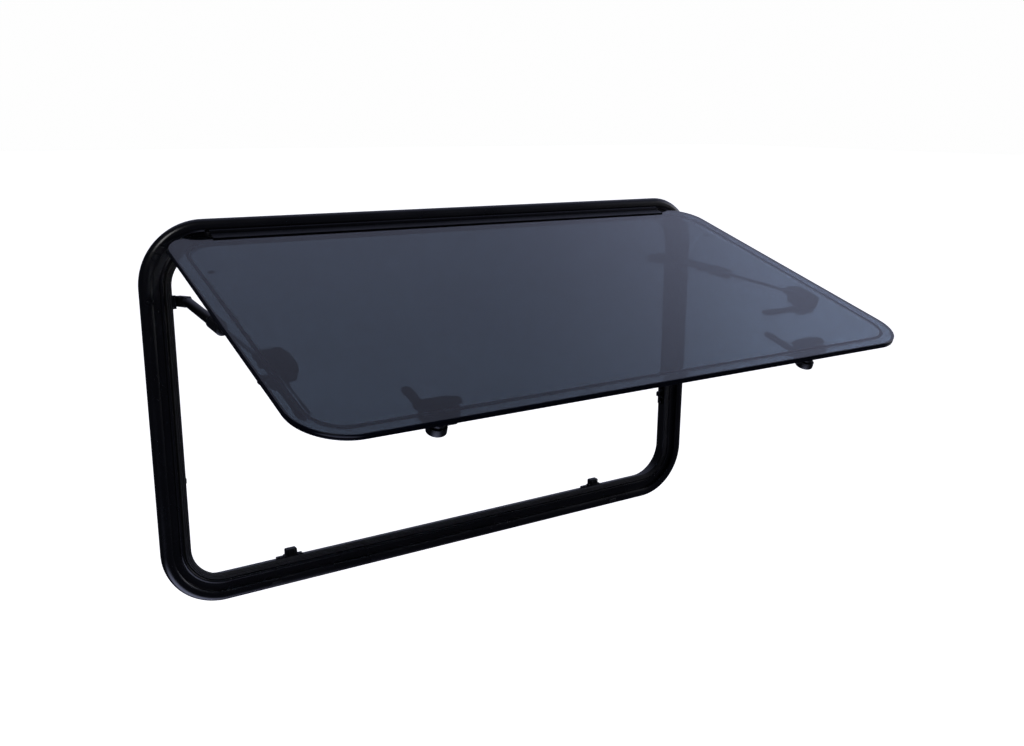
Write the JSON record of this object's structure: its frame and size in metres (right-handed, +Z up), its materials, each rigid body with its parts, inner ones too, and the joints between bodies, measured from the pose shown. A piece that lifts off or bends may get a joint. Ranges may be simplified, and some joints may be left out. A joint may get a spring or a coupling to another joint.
{
  "type": "top-hung push-out caravan window",
  "caption": "Top-hung push-out window: rounded black frame, smoked double acrylic sash, lever latches and telescopic stays.",
  "frame": {"origin": "centre of the wall cut-out, on the outer face of the wall", "axes": "+X right seen from outside, +Y into the room, +Z up"},
  "size_m": [0.936, 0.521, 0.536],
  "materials": {
    "frame_black": "bent extrusion, gloss black powder coat",
    "rubber_black": "extruded EPDM, fine ridges",
    "anodised_dark": "dark anodised hinge extrusion",
    "rivet_alu": "blackened rivet heads",
    "smoked_acrylic": "smoked grey-blue acrylic, polished",
    "clear_acrylic": "smoked acrylic, thermoformed",
    "bond_dark": "dark bonding bead",
    "nylon_black": "moulded glass-filled nylon, fine grain",
    "plug_grey": "soft plug",
    "zinc_screw": "bright zinc",
    "steel_rod": "drawn steel rod",
    "tube_black": "black anodised tube",
    "bracket_black": "pressed steel, black coat",
    "friction_nylon": "natural nylon shoe"
  },
  "bodies": {
    "frame": {"outer_frame": "frame_black", "frame_joiner": "rivet_alu", "frame_seal": "rubber_black", "hinge_rail_frame": "anodised_dark", "hinge_rail_rivets": "rivet_alu", "hinge_end_caps": "nylon_black", "weep_covers": "nylon_black", "striker_bottom_left": "nylon_black", "striker_bottom_right": "nylon_black", "striker_side_left": "nylon_black", "striker_side_right": "nylon_black", "striker_screws": "zinc_screw", "stay_bracket_left": "bracket_black", "stay_bracket_right": "bracket_black", "stay_bracket_screws": "zinc_screw"},
    "sash": {"outer_pane": "smoked_acrylic", "inner_pane": "clear_acrylic", "edge_bond": "bond_dark", "inner_bond": "bond_dark", "vent_plugs": "plug_grey", "hinge_rail_sash": "anodised_dark", "latch_base_bottom_left": "nylon_black", "latch_base_bottom_right": "nylon_black", "latch_base_side_left": "nylon_black", "latch_base_side_right": "nylon_black", "latch_axles": "steel_rod", "latch_base_screws": "zinc_screw", "stay_pins": "steel_rod"},
    "latch_bottom_left": {"latch_handle_bottom_left": "nylon_black", "latch_tongue_bottom_left": "nylon_black"},
    "latch_bottom_right": {"latch_handle_bottom_right": "nylon_black", "latch_tongue_bottom_right": "nylon_black"},
    "latch_side_left": {"latch_handle_side_left": "nylon_black", "latch_tongue_side_left": "nylon_black"},
    "latch_side_right": {"latch_handle_side_right": "nylon_black", "latch_tongue_side_right": "nylon_black"},
    "rod_left": {"stay_rod_left": "steel_rod", "stay_piston_left": "friction_nylon", "stay_rod_end_left": "nylon_black"},
    "tube_left": {"stay_tube_left": "tube_black", "stay_arm_left": "nylon_black", "stay_collar_left": "nylon_black", "stay_rivet_left": "steel_rod"},
    "rod_right": {"stay_rod_right": "steel_rod", "stay_piston_right": "friction_nylon", "stay_rod_end_right": "nylon_black"},
    "tube_right": {"stay_tube_right": "tube_black", "stay_arm_right": "nylon_black", "stay_collar_right": "nylon_black", "stay_rivet_right": "steel_rod"}
  },
  "joints": [
    {"name": "sash_hinge", "type": "hinge", "parent": "frame", "child": "sash", "pos_m": [0, -0.015, 0.251], "axis": [-1, 0, 0], "range_deg": [-73.2, 0]},
    {"name": "latch_bottom_left_turn", "type": "hinge", "parent": "sash", "child": "latch_bottom_left", "pos_m": [-0.28, -0.44056, 0.08804], "axis": [0, 0.289, -0.9573], "range_deg": [0, 90]},
    {"name": "latch_bottom_right_turn", "type": "hinge", "parent": "sash", "child": "latch_bottom_right", "pos_m": [0.28, -0.44056, 0.08804], "axis": [0, -0.289, 0.9573], "range_deg": [0, 90]},
    {"name": "latch_side_left_turn", "type": "hinge", "parent": "sash", "child": "latch_side_left", "pos_m": [-0.4035, -0.31755, 0.12518], "axis": [0, 0.289, -0.9573], "range_deg": [-90, 0]},
    {"name": "latch_side_right_turn", "type": "hinge", "parent": "sash", "child": "latch_side_right", "pos_m": [0.4035, -0.31755, 0.12518], "axis": [0, -0.289, 0.9573], "range_deg": [0, 90]},
    {"name": "stay_left_pivot", "type": "hinge", "parent": "sash", "child": "rod_left", "pos_m": [-0.412, -0.30484, 0.14156], "axis": [-1, 0, 0], "range_deg": [-8.99, 0]},
    {"name": "stay_left_slide", "type": "slide", "parent": "rod_left", "child": "tube_left", "axis": [0, 0.9968, 0.0803], "range_m": [-0.11563, 0]},
    {"name": "stay_right_pivot", "type": "hinge", "parent": "sash", "child": "rod_right", "pos_m": [0.412, -0.30484, 0.14156], "axis": [-1, 0, 0], "range_deg": [-8.99, 0]},
    {"name": "stay_right_slide", "type": "slide", "parent": "rod_right", "child": "tube_right", "axis": [0, 0.9968, 0.0803], "range_m": [-0.11563, 0]}
  ],
  "couplings": [
    {"joint": "stay_left_pivot", "follows": "sash_hinge", "ratio": 0.12273},
    {"joint": "stay_left_slide", "follows": "sash_hinge", "m_per_rad": 0.090508},
    {"joint": "stay_right_pivot", "follows": "sash_hinge", "ratio": 0.12273},
    {"joint": "stay_right_slide", "follows": "sash_hinge", "m_per_rad": 0.090508}
  ]
}
